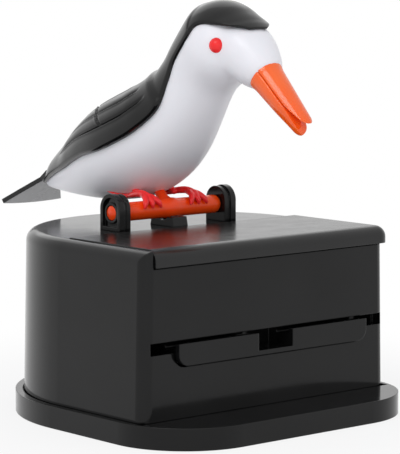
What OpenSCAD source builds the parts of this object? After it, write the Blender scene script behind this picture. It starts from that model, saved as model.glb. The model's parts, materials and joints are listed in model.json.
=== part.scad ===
// Toothpick dispenser: a D-shaped box on a tray, with a bird that pecks a pick out of a sliding carriage.
// Millimetres, +Z up. The front faces -Y. The origin is on the underside of the tray, at the centre
// of the box's round back. The bird's own points are measured from the perch axis.

/* [Box] */
// Width of the box at the foot of its sides
box_w = 89; // [84:0.5:94]
// Length of the straight sides, from the front face to the start of the round back
side_len = 36.4; // [34:0.2:40]
// Height of the box's top above the table
top_z = 51; // [50:0.25:54]
// Draft of the sides, in degrees
draft = 1.2; // [0:0.1:2]
// Thickness of the box's walls
wall_t = 2.4; // [2.2:0.1:3]
// Thickness of the deck under the bird
deck_t = 2; // [1.8:0.1:2.2]
// Radius of the rounded top edge
edge_r = 3.2; // [2.8:0.1:4.2]
// Radius of the two upright front corners
corner_r = 3.5; // [2:0.1:5]

/* [Tray] */
// Height of the tray's rim
tray_h = 6; // [5:0.25:8]
// Width of the tray's rim beside and behind the box
tray_margin = 2.4; // [1.8:0.1:5]
// Length of the ledge in front of the box
ledge_len = 16; // [14:0.5:24]
// Radius of the ledge's two corners
ledge_r = 23; // [12:0.5:30]
// Thickness of the tray's floor inside the box
floor_t = 2.2; // [1.8:0.1:3]
// Depth of the pocket that the box stands in
pocket_d = 2; // [1.2:0.1:2.6]
// Gap between the box and the rim of its pocket
pocket_gap = 0.4; // [0.2:0.05:0.8]

/* [Lid] */
// Depth of the lid, from the front face to its rear edge
lid_depth = 35.8; // [34:0.2:36]
// Thickness of the lid's plate
lid_t = 2; // [1.6:0.1:2.2]
// How far the lid's top stands above the box's top
lid_rise = 0.3; // [0.1:0.05:0.4]
// Height of the lid's skirt, measured from the top
skirt_h = 4.5; // [4.2:0.1:6]
// Thickness of the lid's skirt
skirt_t = 1.2; // [1:0.1:1.4]
// How far the skirt stands proud of the box
skirt_proud = 0.7; // [0.5:0.05:0.8]
// Gap round the lid
lid_gap = 0.3; // [0.2:0.05:0.5]

/* [Slot and carriage] */
// Height of the slot's lower edge
slot_z = 23.6; // [22:0.1:25]
// Height of the slot
slot_h = 3.2; // [2.8:0.1:3.4]
// Distance from the foot of the box's side to the lip's end
lip_end = 10.4; // [9:0.1:11]
// How far the lip and its notch sit to the right of the middle
lip_shift = 0.8; // [0:0.1:1]
// Thickness of the lip
lip_t = 1.8; // [1.4:0.1:2]
// How far the lip stands out of the box at rest
lip_proud = 1.7; // [1:0.1:1.8]
// Depth of the lip below the slot's lower edge
lip_drop = 3.5; // [3:0.1:5]
// Height of the lip above the slot's lower edge
lip_rise = 2.5; // [1:0.1:2.7]
// Radius of the lip's lower corners
lip_r = 3.2; // [2:0.1:5]
// Gap between the lip and the mouth
mouth_gap = 0.45; // [0.4:0.05:0.8]
// Width of the notch that the beak dips into
notch_w = 12.4; // [11:0.2:20]
// Diameter of the groove that one pick lies in
pick_d = 2.6; // [2.4:0.05:2.8]
// Travel of the carriage
travel = 14; // [12.5:0.1:14.4]
// Running gap between the carriage and what it slides along
slide_gap = 0.2; // [0.1:0.05:0.3]

/* [Perch and lever] */
// Height of the perch axis above the top of the box
perch_h = 4.9; // [4.8:0.05:5.6]
// Distance from the lid's rear edge to the perch axis
perch_back = 6.3; // [5:0.1:7]
// Diameter of the perch
perch_d = 5.2; // [4.8:0.1:5.4]
// Diameter of the perch's journals
journal_d = 4.2; // [3.6:0.1:4.4]
// Radial running fit of the journals and pins
fit = 0.05; // [0.02:0.01:0.1]
// Length of the perch between its brackets
perch_len = 34.6; // [32:0.2:40]
// Thickness of each bracket
bracket_t = 4; // [3.6:0.1:5]
// Radius of a bracket's arch
bracket_r = 4.3; // [4:0.1:4.8]
// Height of the arch's centre above the perch axis
arch_rise = 1; // [0:0.1:1.4]
// Turn of the bird from rest to the end of its peck, in degrees
peck = 56; // [50:0.5:58]
// Height of the rocker's pivot
rocker_z = 34; // [33:0.25:35]
// Height of the pin on the carriage's tail
tail_pin_z = 19; // [18:0.25:20]
// Diameter of the lever pins
pin_d = 3; // [2.4:0.1:3.2]
// Play of the crank pin in the rocker's fork, each side
fork_play = 0.45; // [0.4:0.05:0.6]
// Thickness of the crank arm
arm_t = 2.6; // [2:0.1:3]
// Thickness of the rocker
rocker_t = 3; // [2:0.1:3.2]

/* [Bird] */
// Length of the bird's body, from the head's centre to the tail's root
bird_len = 78; // [74:0.5:79]
// Thickness of the black shell over the back
shell_t = 1.1; // [0.8:0.1:1.4]
// Rows of feathers on each wing
feather_rows = 4; // [2:1:6]
// Height of the step from one row of feathers to the next
feather_step = 0.6; // [0.2:0.05:0.8]
// Length of the beak in front of the head
beak_len = 20.25; // [17:0.25:20.5]
// Diameter of the beak at its root
beak_d = 9.6; // [8:0.1:10.5]
// Diameter of the beak at its tips
beak_tip_d = 5.8; // [4.5:0.1:6.2]
// Opening between the tips
beak_open = 1.9; // [1:0.1:2.4]
// Diameter of an eye
eye_d = 4.3; // [3.6:0.1:5]
// Length of the tail's fan
tail_len = 14.5; // [12:0.5:16]
// Width of the tail's end
tail_w = 22.6; // [18:0.2:26]
// Thickness of the tail
tail_t = 1.4; // [1:0.1:2]

/* [Hidden] */
$fn = 64;
EPS = 0.01;
EDGE_STEPS = 12;

// Colours
BLACK = [0.13, 0.13, 0.14];
WHITE = [0.9, 0.9, 0.93];
ORANGE = [1, 0.38, 0.12];
RED = [0.93, 0.2, 0.22];
STEEL = [0.7, 0.71, 0.73];
NATURAL = [0.82, 0.82, 0.78];

// Box
half_w = box_w / 2;
foot_z = tray_h - pocket_d;
slope = tan(draft);
deck_z = top_z - deck_t;
front_y = -side_len;
inner_front_y = front_y + wall_t;
seam_y = front_y + lid_depth;
top_half = half_w - (top_z - foot_z) * slope;
strip_x = top_half - edge_r;
corner_cross = 0.03;

// Lid
lid_under = top_z + lid_rise - lid_t;
lid_h = skirt_h + lid_rise;
skirt_z = top_z - skirt_h;
skirt_y = front_y - skirt_proud;
skirt_in_y = skirt_y + skirt_t;
hook_overlap = 0.3;
hook_gap = 0.25;
hook = hook_overlap + hook_gap;
rebate_y = skirt_in_y + hook + hook_gap;
hook_h = 0.8;
tongue_t = 1.2;
tongue_len = 0.65;

// Carriage
slot_top = slot_z + slot_h;
slot_left = -strip_x - 1.3;
slot_right = strip_x + 2.1;
lip_w = box_w - 2 * lip_end;
notch_z = slot_z - 2.2;
throat_y = inner_front_y + pick_d;
pick_y = inner_front_y + pick_d / 2;
pick_z = slot_z + pick_d / 2;
blade_z = slot_top - 0.5;
carriage_z = slot_z - lip_drop + 0.8;
blade_len = travel + 1;
blade_end_y = throat_y + blade_len;
lip_y = front_y - lip_proud;
lip_z = slot_z - lip_drop;
bed_w = lip_w - 3;
bed_t = 2;
bed_y = inner_front_y + 1.4;
runner_x = 26;
runner_w = 7;
runner_len = 34;
rail_w = 3;
rail_groove = 2.4;

// Hopper
hopper_t = 1.4;
hopper_half = lip_w / 2 + mouth_gap;
hopper_back_y = seam_y - 5;
hopper_top = lid_under - tongue_t - lid_gap - 0.3;
hopper_knee_z = hopper_top - 6;
boss_r = 3.2;
boss_y = -26;
boss_x = top_half - wall_t - boss_r + 1;
rear_boss_x = 27;
rear_boss_y = 24;
ear_z = 43;
screw_d = 2.8;
screw_head_d = 5.6;
screw_head_h = 1.2;

// Perch and lever
perch_y = seam_y + perch_back;
perch_z = top_z + perch_h;
perch_r = perch_d / 2;
perch_end_gap = 0.3;
bracket_peg_r = 1.5;
hub_r = perch_r + 0.3;
hub_half = 3;
arm_w = 2.5;
lever_slot_half = arm_t / 2 + 0.35;
guard_gap = 0.3;
guard_h = perch_h - perch_r + 0.4;
guard_half_w = 2.6;
guard_wall = 0.8;
pin_r = pin_d / 2;
arm_eye_r = pin_r + 1.4;
tail_drop = rocker_z - tail_pin_z;
rocker_half = atan(travel / 2 / tail_drop);
crank_r = tan(rocker_half) * (perch_z - rocker_z) / (sin(peck / 2) + tan(rocker_half) * cos(peck / 2));
crank_pin_dy = crank_r * sin(peck / 2);
crank_pin_z = perch_z - crank_r * cos(peck / 2);
fork_reach = norm([crank_pin_dy, crank_pin_z - rocker_z]) + 1;
tail_reach = norm([travel / 2, tail_drop]);
rocker_x = arm_t / 2 + 0.5;
rocker_wall = 1.6;
post_x = rocker_x + rocker_t + 0.6;
post_t = 4;
tail_pin_y = perch_y + travel / 2;
tongue_x = -6.5;
lug_x = arm_t / 2 - 0.1;
lug_r = pin_r + 2.2;

// Spring
spring_x = (tongue_x + lug_x) / 2;
spring_r = 2.4;
wire_d = 0.8;
spring_start_y = tail_pin_y + lug_r;
anchor_y = half_w - 8.5;
curls = 12;

// Bird
// Rings of the bird, from the tail's root to the cap's tip, in the bird's own length units of 1/78:
// [y, z, radius, tilt of the ring's back, half angle that the black shell covers].
// The rings from FIRST_HEAD on fan about the head's centre. After that one they carry the cap only.
RINGS = [
    [55.4, 3.2, 1.5, 74, 96], [49.8, 4.7, 3.7, 74, 85], [43.8, 6.4, 5.9, 74, 84], [37.2, 8.3, 8.2, 73, 85],
    [30.2, 10.5, 10.6, 71, 85], [22.6, 12.7, 12.7, 68, 85], [14, 15.4, 14.1, 63, 88], [6, 19, 14.1, 56, 91],
    [-1, 23.6, 13, 48, 95], [-7.7, 29.8, 11.2, 41, 97], [-12.8, 36, 10.2, 38, 84], [-16.4, 40.5, 10.3, 42, 76],
    [-23, 46.2, 11.5, 55, 74], [-23, 46.2, 11.5, 75, 72], [-23, 46.2, 11.5, 95, 66], [-23, 46.2, 11.5, 115, 59],
    [-23, 46.2, 11.8, 132, 51], [-23, 46.2, 12.8, 146, 37], [-23, 46.2, 14, 155, 22], [-23, 46.2, 14.9, 161, 8]];
FIRST_HEAD = 12;
bird_k = bird_len / 78;
HEAD = [-23, 46.2];
HEAD_R = 11.5;
head_dip = 0.3;
under_shell = 0.06;
BEAK_ROOT = [-40.65, 38.55];
BEAK_DIP = 41.5;
// Face: [distance behind the beak's root, radius]
FACE = [[0, 4.9], [1.7, 5.7], [3.6, 6.4], [7.4, 7.05], [11, 7.1], [14, 6.2], [16, 4.6]];
TAIL_DIP = 37;
PEG_RINGS = [4, 8];
peg_r = 1.2;
peg_h = 1;
peg_end_gap = 0.2;
RING_SIDES = 32;
STEPS = 3;
SHELL_SIDES = 24;
SHOULDER = 9.3;
EYE = [8.2, -29.8, 46.8];
FOOT_X = 8.4;
TOE_SPREAD = 2.8;
PEG = 1.6;
SADDLE_LEN = 8;
SADDLE_LEAN = 45;

function arm_reach(depth) = depth * tan(peck / 2) + arm_w / 2 / cos(peck / 2) + 0.3;

// ---- Box sections ----

// Half of the box's upright section, x from the middle to the side, set in from the outside
module half_section(inset, low, high) {
    round_r = max(edge_r - inset, 0.4);
    side = function(z) half_w - inset - (z - foot_z) * slope;
    centre = [side(high - round_r) - round_r / cos(draft), high - round_r];
    turn = (90 - draft) / EDGE_STEPS;
    polygon(concat([[0, low], [side(low), low]],
                   [for (i = [0:EDGE_STEPS]) centre + round_r * [cos(draft + i * turn), sin(draft + i * turn)]],
                   [[0, high]]));
}

// The box's outline from above
module d_outline(radius, front) {
    intersection() {
        circle(radius);
        translate([-radius, 0]) square([2 * radius, radius]);
    }
    translate([-radius, front]) square([2 * radius, -front]);
}

module d_solid(inset, front, low, high) {
    rotate_extrude(angle = 180) half_section(inset, low, high);
    rotate([90, 0, 0]) linear_extrude(-front) {
        half_section(inset, low, high);
        mirror([1, 0]) half_section(inset, low, high);
    }
}

// What the upright front corners lose: a square less a circle, leaning with the side's draft. The circle
// crosses the walls at a slight angle instead of just touching them.
module corner_cut() {
    for (side = [-1, 1])
        translate([side * half_w, front_y, foot_z]) rotate([0, -side * draft, 0])
            translate([0, 0, -1]) linear_extrude(top_z)
                difference() {
                    translate([-side * corner_r / 2 + side * 0.5, corner_r / 2 - 0.5])
                        square([corner_r + 1, corner_r + 1], center = true);
                    translate([-side * corner_r, corner_r]) circle(corner_r + corner_cross);
                    translate([-side * (corner_r + 3), corner_r]) square([6, 2 * corner_r + 4], center = true);
                    translate([-side * corner_r, corner_r + 3]) square([2 * corner_r + 4, 6], center = true);
                }
}

// The lip's outline in X and Z, grown by a gap
module lip_outline(grow, high) {
    radius = lip_r + grow;
    half = lip_w / 2 + grow;
    low = lip_z - grow;
    intersection() {
        union() {
            for (side = [-1, 1]) translate([side * (half - radius), low + radius]) circle(radius);
            translate([-(half - radius), low]) square([2 * (half - radius), high - low]);
            translate([-half, low + radius]) square([2 * half, high - low - radius]);
        }
        translate([-half, low]) square([2 * half, high - low]);
    }
}

// Lengthwise section of the way through the deck and guard that the swinging arm needs
module lever_way(low, high) {
    translate([-lever_slot_half, perch_y, 0]) rotate([90, 0, 90]) linear_extrude(2 * lever_slot_half)
        polygon([[-arm_reach(perch_z - low), low], [arm_reach(perch_z - low), low],
                 [arm_reach(perch_z - high), high], [-arm_reach(perch_z - high), high]]);
}

module at_screws() {
    for (side = [-1, 1]) {
        translate([side * boss_x, boss_y, 0]) children();
        translate([side * rear_boss_x, rear_boss_y, 0]) children();
    }
}

// ---- Tray and box ----

module base_tray() {
    outer = half_w + tray_margin;
    tray_front = front_y - ledge_len;
    color(BLACK) difference() {
        linear_extrude(tray_h) {
            circle(outer);
            translate([-outer, tray_front + ledge_r]) square([2 * outer, -tray_front - ledge_r]);
            translate([-outer + ledge_r, tray_front]) square([2 * (outer - ledge_r), 2 * ledge_r]);
            for (side = [-1, 1]) translate([side * (outer - ledge_r), tray_front + ledge_r]) circle(ledge_r);
        }
        translate([0, 0, foot_z]) linear_extrude(tray_h) d_outline(half_w + pocket_gap, front_y - pocket_gap);
        translate([0, 0, floor_t]) linear_extrude(tray_h) d_outline(half_w - wall_t - 1, inner_front_y + 1);
        at_screws() {
            translate([0, 0, floor_t]) cylinder(r = boss_r + pocket_gap, h = tray_h);
            translate([0, 0, -1]) cylinder(d = screw_d + 0.3, h = floor_t + 2);
            translate([0, 0, -1]) cylinder(d = screw_head_d + 0.4, h = screw_head_h + 1);
        }
    }
}

module housing_shell() {
    color(BLACK) difference() {
        union() {
            difference() {
                d_solid(0, front_y, foot_z, top_z);
                corner_cut();
                d_solid(wall_t, inner_front_y, foot_z - 1, deck_z);
            }
            intersection() {
                at_screws() translate([0, 0, floor_t]) cylinder(r = boss_r, h = deck_z - floor_t + EPS);
                d_solid(wall_t / 2, inner_front_y - 1, 0, top_z);
            }
        }
        // the lid's place, open to the right
        translate([-strip_x - lid_gap, front_y - 1, skirt_z - lid_gap])
            cube([box_w, rebate_y - front_y + 1, skirt_h + 2]);
        translate([-strip_x - lid_gap, front_y - 1, lid_under - lid_gap / 2])
            cube([box_w, lid_depth + 1 + lid_gap / 2, skirt_h]);
        translate([top_half - wall_t - 1, front_y - 1, skirt_z - lid_gap])
            cube([box_w, lid_depth + 1 + lid_gap / 2, skirt_h + 2]);
        // the box is open under the lid, and there the front bosses stop under the hopper's ears
        translate([-strip_x - lid_gap, inner_front_y - EPS, deck_z - 1])
            cube([2 * (strip_x + lid_gap), seam_y + lid_gap / 2 - inner_front_y + EPS, deck_t + 2]);
        translate([-strip_x - lid_gap, inner_front_y, ear_z]) cube([2 * (strip_x + lid_gap), -boss_y / 2, top_z - ear_z]);
        // the way out for the lid's tongue
        translate([0, seam_y - 1, lid_under - tongue_t - lid_gap])
            cube([box_w, tongue_len + 1 + lid_gap, tongue_t + lid_gap + EPS]);
        // pick slot across the front, and the mouth for the carriage
        translate([slot_left, front_y - 1, slot_z]) cube([slot_right - slot_left, wall_t + 2, slot_h]);
        translate([lip_shift, inner_front_y + 1, 0]) rotate([90, 0, 0]) linear_extrude(wall_t + 2)
            lip_outline(mouth_gap, slot_top);
        lever_way(deck_z - 1, top_z + 0.001);
        at_screws() translate([0, 0, floor_t - 1]) cylinder(d = screw_d + 2 * fit, h = 14);
        for (side = [-1, 1]) translate([side * (perch_len + bracket_t) / 2, perch_y, deck_z - 1])
            cylinder(r = bracket_peg_r + fit, h = deck_t + 2);
    }
    color(BLACK) translate([-strip_x + 1, rebate_y - hook, lid_under - lid_gap - hook_h])
        cube([2 * strip_x - 3, hook + EPS, hook_h]);
}

// Upright section of the lid's rim, from the plate's inside to its outer edge, rounded at the top
module rim_section(width) {
    polygon(concat([[0, 0], [width, 0]],
                   [for (i = [0:EDGE_STEPS]) [width - edge_r, lid_h - edge_r]
                       + edge_r * [cos(90 * i / EDGE_STEPS), sin(90 * i / EDGE_STEPS)]],
                   [[0, lid_h]]));
}

module refill_lid() {
    left_x = -strip_x;
    right_x = half_w + skirt_proud;
    turn_x = right_x - corner_r;
    rear_y = seam_y - lid_gap / 2;
    color(BLACK) {
        difference() {
            translate([0, 0, skirt_z]) {
                translate([left_x, rear_y, 0]) rotate([90, 0, 90]) linear_extrude(turn_x - left_x)
                    mirror([1, 0]) rim_section(rear_y - skirt_y);
                translate([turn_x, rear_y, 0]) rotate([90, 0, 0]) linear_extrude(rear_y - skirt_y - corner_r)
                    rim_section(corner_r);
                translate([turn_x, skirt_y + corner_r, 0]) rotate([0, 0, -90]) rotate_extrude(angle = 90)
                    rim_section(corner_r);
            }
            translate([left_x - 1, skirt_in_y, skirt_z - 1])
                cube([right_x - skirt_t - left_x + 1, lid_depth + 2, lid_h - lid_t + 1]);
        }
        // rib that hooks under the rail on the box's front wall
        translate([left_x, skirt_in_y - EPS, skirt_z]) cube([top_half - wall_t - left_x, hook + EPS, hook_h]);
    }
}

// Runner under the lid's rear edge, right of the lever: its tongue passes under the deck's front edge
module lid_runner() {
    runner_left = lever_slot_half + 1.2;
    root_w = 1.4;
    tongue_z = lid_under - tongue_t;
    color(BLACK) translate([runner_left, seam_y - lid_gap / 2 - root_w, tongue_z]) {
        cube([strip_x - 4 - runner_left, root_w, tongue_t]);
        cube([strip_x - 4 - runner_left, root_w + tongue_len, deck_z - 0.1 - tongue_z]);
    }
}

// ---- Brackets, guard and inner pieces ----

// An arch standing on the deck, as wide as twice its radius
module arch_plate(radius, low_x, high_x) {
    translate([low_x, perch_y, 0]) rotate([90, 0, 90]) linear_extrude(high_x - low_x) {
        translate([0, perch_z + arch_rise]) circle(radius);
        translate([-radius, top_z]) square([2 * radius, perch_h + arch_rise]);
    }
}

// Two arched flanges with a groove between them; the outer face is sunk inside its rim
module bracket(side) {
    inner_x = perch_len / 2;
    outer_x = inner_x + bracket_t;
    rim = 1.1;
    sink = 0.9;
    mirror([side < 0 ? 1 : 0, 0, 0]) difference() {
        union() {
            arch_plate(bracket_r - 0.5, inner_x, outer_x);
            arch_plate(bracket_r, outer_x - 1.8, outer_x);
            arch_plate(bracket_r - 0.2, inner_x, inner_x + 1.2);
            translate([inner_x + bracket_t / 2, perch_y, deck_z]) cylinder(r = bracket_peg_r, h = deck_t + EPS);
        }
        translate([inner_x - 1, perch_y, perch_z]) rotate([0, 90, 0])
            cylinder(d = journal_d + 2 * fit, h = bracket_t + 2);
        difference() {
            intersection() {
                arch_plate(bracket_r - rim, outer_x - sink, outer_x + 1);
                translate([0, perch_y - bracket_r, top_z + rim]) cube([50, 2 * bracket_r, 20]);
            }
            translate([inner_x, perch_y, perch_z]) rotate([0, 90, 0])
                cylinder(r = journal_d / 2 + 0.8, h = bracket_t - 0.4);
        }
    }
}

module left_bracket() color(BLACK) bracket(-1);
module right_bracket() color(BLACK) bracket(1);

module lever_guard() {
    half_len = arm_reach(perch_h) + guard_wall;
    color(BLACK) difference() {
        translate([-guard_half_w, perch_y, top_z]) rotate([90, 0, 90]) linear_extrude(2 * guard_half_w)
            polygon([[-half_len, 0], [half_len, 0], [half_len - 0.6, guard_h], [-half_len + 0.6, guard_h]]);
        lever_way(top_z - 0.001, top_z + guard_h + 1);
        at_perch() rotate([0, 90, 0]) cylinder(r = hub_r + guard_gap, h = 4 * guard_half_w, center = true);
    }
}

module pick_hopper() {
    back = hopper_back_y;
    floor_y = throat_y;
    floor_z = slot_top;
    ear_len = 6;
    color(BLACK) {
        // sloping floor with its upright rear wall
        translate([-hopper_half, 0, 0]) rotate([90, 0, 90]) linear_extrude(2 * hopper_half)
            polygon([[floor_y, floor_z], [floor_y, floor_z + hopper_t], [back - hopper_t, hopper_knee_z],
                     [back - hopper_t, hopper_top], [back, hopper_top], [back, hopper_knee_z - hopper_t],
                     [floor_y + 1.6, floor_z]]);
        for (side = [-1, 1]) {
            translate([side * (hopper_half - hopper_t / 2) - hopper_t / 2, inner_front_y + 0.2, floor_z])
                cube([hopper_t, back - inner_front_y - 0.2, hopper_top - floor_z]);
            // ears that stand on the front bosses
            translate([side * (hopper_half + ear_len / 2 - 0.5), boss_y, ear_z + hopper_t / 2])
                cube([ear_len, ear_len, hopper_t], center = true);
        }
    }
}

module carriage_bed() {
    rail_top = carriage_z + rail_groove - slide_gap;
    color(BLACK) {
        translate([-bed_w / 2, bed_y, floor_t]) cube([bed_w, perch_y + 5 - bed_y, bed_t]);
        for (side = [-1, 1]) translate([side * runner_x - rail_w / 2, bed_y, floor_t])
            cube([rail_w, perch_y + 2 - bed_y, rail_top - floor_t]);
    }
}

module rocker_post() {
    color(BLACK) difference() {
        union() {
            translate([post_x, perch_y - 3.5, floor_t + bed_t]) cube([post_t, 7, rocker_z - floor_t - bed_t]);
            translate([post_x, perch_y, rocker_z]) rotate([0, 90, 0]) cylinder(r = 3.5, h = post_t);
        }
        translate([post_x - 1, perch_y, rocker_z]) rotate([0, 90, 0]) cylinder(r = pin_r + fit, h = post_t + 2);
    }
}

module rocker_pin() {
    color(STEEL) translate([0, perch_y, rocker_z]) rotate([0, 90, 0]) {
        translate([0, 0, rocker_x - 0.2 - 1]) cylinder(r = pin_r + 1, h = 1);
        translate([0, 0, rocker_x - 0.2 - EPS]) cylinder(r = pin_r, h = post_x + post_t - rocker_x + 0.2);
    }
}

module spring_anchor() {
    color(BLACK) translate([spring_x - 3, anchor_y, floor_t]) cube([6, 2.5, tail_pin_z + 3 - floor_t]);
}

// Extension spring along Y: straight ends on its axis, then a wind of even curls
SPRING_STEPS = 8 * curls;
spring_body = anchor_y - spring_start_y - 4 * wire_d;
function spring_point(i) =
    let (turn = i / SPRING_STEPS, grow = min(1, i / 8, (SPRING_STEPS - i) / 8))
    [spring_x + spring_r * grow * cos(45 * i), spring_start_y + 2 * wire_d + spring_body * turn,
     tail_pin_z + spring_r * grow * sin(45 * i)];
function spring_path() = concat(
    [[spring_x, spring_start_y, tail_pin_z], [spring_x, spring_start_y + wire_d, tail_pin_z]],
    [for (i = [0:SPRING_STEPS]) spring_point(i)],
    [[spring_x, anchor_y - wire_d, tail_pin_z], [spring_x, anchor_y, tail_pin_z]]);
function unit(v) = v / norm(v);

module tube(path, d, sides) {
    last = len(path) - 1;
    dir = [for (i = [0:last]) i == 0 || i == last ? [0, 1, 0] : unit(path[i + 1] - path[i - 1])];
    points = [for (i = [0:last]) let (u = unit(cross(dir[i], [0, 0.3, 1])), v = cross(dir[i], u))
        for (k = [0:sides - 1]) path[i] + d / 2 * (cos(360 * k / sides) * u + sin(360 * k / sides) * v)];
    at = function(i, k) i * sides + k % sides;
    faces = concat(
        [[for (k = [0:sides - 1]) k]], [[for (k = [sides - 1:-1:0]) at(last, k)]],
        [for (i = [0:last - 1]) for (k = [0:sides - 1]) [at(i, k), at(i + 1, k), at(i + 1, k + 1)]],
        [for (i = [0:last - 1]) for (k = [0:sides - 1]) [at(i, k), at(i + 1, k + 1), at(i, k + 1)]]);
    polyhedron(points, faces, convexity = 10);
}

module return_spring() {
    path = spring_path();
    gap = min([for (i = [0:len(path) - 9]) for (j = [i + 6:min(i + 12, len(path) - 1)]) norm(path[i] - path[j])]) - wire_d;
    echo(least_gap_between_curls = gap);
    color(STEEL) tube(path, wire_d, 6);
}

module base_screws() {
    color(STEEL) at_screws() {
        cylinder(d = screw_head_d, h = screw_head_h);
        translate([0, 0, screw_head_h - EPS]) cylinder(d = screw_d, h = 11);
    }
}

// ---- Carriage and rocker ----

module pick_carriage() {
    color(BLACK) difference() {
        union() {
            // lip
            translate([lip_shift, lip_y + lip_t, 0]) rotate([90, 0, 0]) linear_extrude(lip_t)
                lip_outline(0, slot_z + lip_rise);
            // shelf in front of the pick's groove, and blade that shuts the hopper's throat
            translate([-bed_w / 2, lip_y + lip_t - EPS, carriage_z])
                cube([bed_w, pick_y - lip_y - lip_t + EPS, pick_z - carriage_z]);
            translate([-bed_w / 2, pick_y - EPS, carriage_z]) cube([bed_w, blade_end_y - pick_y, blade_z - carriage_z]);
            // runners over the rails
            for (side = [-1, 1]) translate([side * runner_x - runner_w / 2, blade_end_y - 4, carriage_z])
                cube([runner_w, runner_len - blade_len, 4]);
            // tail with its lug
            translate([tongue_x, blade_end_y - 4, carriage_z]) cube([lug_x - tongue_x, 5, 4]);
            translate([tongue_x, blade_end_y, tail_pin_z - 2]) cube([lug_x - tongue_x, tail_pin_y - blade_end_y, 4]);
            translate([tongue_x, blade_end_y, tail_pin_z - 2])
                cube([lug_x - tongue_x, 1, carriage_z + 4 - tail_pin_z + 2]);
            translate([tongue_x, tail_pin_y, tail_pin_z]) rotate([0, 90, 0]) cylinder(r = lug_r, h = lug_x - tongue_x);
        }
        // pick's groove
        translate([-bed_w, pick_y, pick_z]) rotate([0, 90, 0]) cylinder(d = pick_d, h = 2 * bed_w);
        // notch for the beak, through lip, shelf and groove
        translate([lip_shift - notch_w / 2, lip_y - 1, notch_z]) cube([notch_w, pick_y + 4.3 - lip_y + 1, 20]);
        // grooves that ride the rails
        for (side = [-1, 1])
            translate([side * runner_x - rail_w / 2 - slide_gap, lip_y + lip_t + 2, carriage_z - 1])
                cube([rail_w + 2 * slide_gap, 60, rail_groove + 1]);
        translate([tongue_x - 1, tail_pin_y, tail_pin_z]) rotate([0, 90, 0])
            cylinder(r = pin_r + fit, h = lug_x - tongue_x + 2);
    }
}

module carriage_pin() {
    color(STEEL) translate([tongue_x + 1, tail_pin_y, tail_pin_z]) rotate([0, 90, 0])
        cylinder(r = pin_r, h = rocker_x + rocker_t - tongue_x - 0.5);
}

// Flat lever drawn upright, then leant to its rest angle: fork above the pivot, slot below
module rocker_lever() {
    slot_top_r = pin_r + fork_play;
    slot_low_r = pin_r + 0.3;
    wide = slot_top_r + rocker_wall;
    color(NATURAL) translate([rocker_x, perch_y, rocker_z]) rotate([rocker_half, 0, 0]) rotate([90, 0, 90])
        linear_extrude(rocker_t) difference() {
            union() {
                intersection() {
                    translate([-wide, 0]) square([2 * wide, fork_reach + 1]);
                    circle(fork_reach);
                }
                circle(wide);
                translate([-slot_low_r - rocker_wall, -tail_reach]) square([2 * (slot_low_r + rocker_wall), tail_reach]);
                translate([0, -tail_reach]) circle(slot_low_r + rocker_wall);
            }
            circle(pin_r + fit);
            translate([-slot_top_r, crank_pin_z - rocker_z - 5.5 + slot_top_r]) square([2 * slot_top_r, 30]);
            translate([0, crank_pin_z - rocker_z - 5.5 + slot_top_r]) circle(slot_top_r);
            translate([0, -tail_reach]) circle(slot_low_r);
            translate([-slot_low_r, -tail_reach]) square([2 * slot_low_r, tail_reach - tail_drop]);
            translate([0, -tail_drop]) circle(slot_low_r);
        }
}

// ---- Bird ----

module at_perch() translate([0, perch_y, perch_z]) children();

module perch_bar() {
    bar = perch_len - 2 * perch_end_gap;
    full = perch_len + 2 * bracket_t - 0.6;
    color(ORANGE) at_perch() difference() {
        union() {
            rotate([0, 90, 0]) cylinder(r = perch_r, h = bar, center = true);
            rotate([0, 90, 0]) cylinder(d = journal_d, h = full, center = true);
            rotate([0, 90, 0]) cylinder(r = hub_r, h = 2 * hub_half, center = true);
            rotate([-SADDLE_LEAN, 0, 0]) cylinder(r = 1.5, h = SADDLE_LEN);
        }
        rotate([-peck / 2, 0, 0]) translate([-PEG / 2 - fit, -PEG / 2 - fit, -hub_r - 1])
            cube([PEG + 2 * fit, PEG + 2 * fit, hub_r + 1]);
    }
}

module crank_arm() {
    color(BLACK) at_perch() rotate([-peck / 2, 0, 0]) difference() {
        union() {
            translate([-PEG / 2, -PEG / 2, -hub_r - 0.4]) cube([PEG, PEG, hub_r + 0.2]);
            translate([-arm_t / 2, -arm_w / 2, -crank_r]) cube([arm_t, arm_w, crank_r - hub_r - 0.05]);
            translate([-arm_t / 2, 0, -crank_r]) rotate([0, 90, 0]) cylinder(r = arm_eye_r, h = arm_t);
        }
        translate([-arm_t, 0, -crank_r]) rotate([0, 90, 0]) cylinder(r = pin_r + fit, h = 2 * arm_t);
    }
}

module crank_pin() {
    color(STEEL) at_perch() rotate([-peck / 2, 0, 0]) translate([0, 0, -crank_r]) rotate([0, 90, 0]) {
        translate([0, 0, -arm_t / 2 - 1]) cylinder(r = pin_r + 0.8, h = 1);
        translate([0, 0, -arm_t / 2 - EPS]) cylinder(r = pin_r, h = arm_t / 2 + rocker_x + rocker_t);
    }
}

// Catmull-Rom curve through a list's entries
function blend(list, u) =
    let (i = min(floor(u), len(list) - 2), t = u - i, a = list[max(i - 1, 0)], b = list[i], c = list[i + 1],
         d = list[min(i + 2, len(list) - 1)])
    0.5 * (2 * b + (c - a) * t + (2 * a - 5 * b + 4 * c - d) * t * t + (3 * b - a - 3 * c + d) * t * t * t);

// Point on ring u at an angle from the bird's back, grown outward
function skin(u, angle, grow) =
    let (ring = blend(RINGS, u), r = ring[2] * bird_k + grow, tilt = ring[3])
    [r * sin(angle), ring[0] * bird_k + r * cos(angle) * cos(tilt), ring[1] * bird_k + r * cos(angle) * sin(tilt)];

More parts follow.
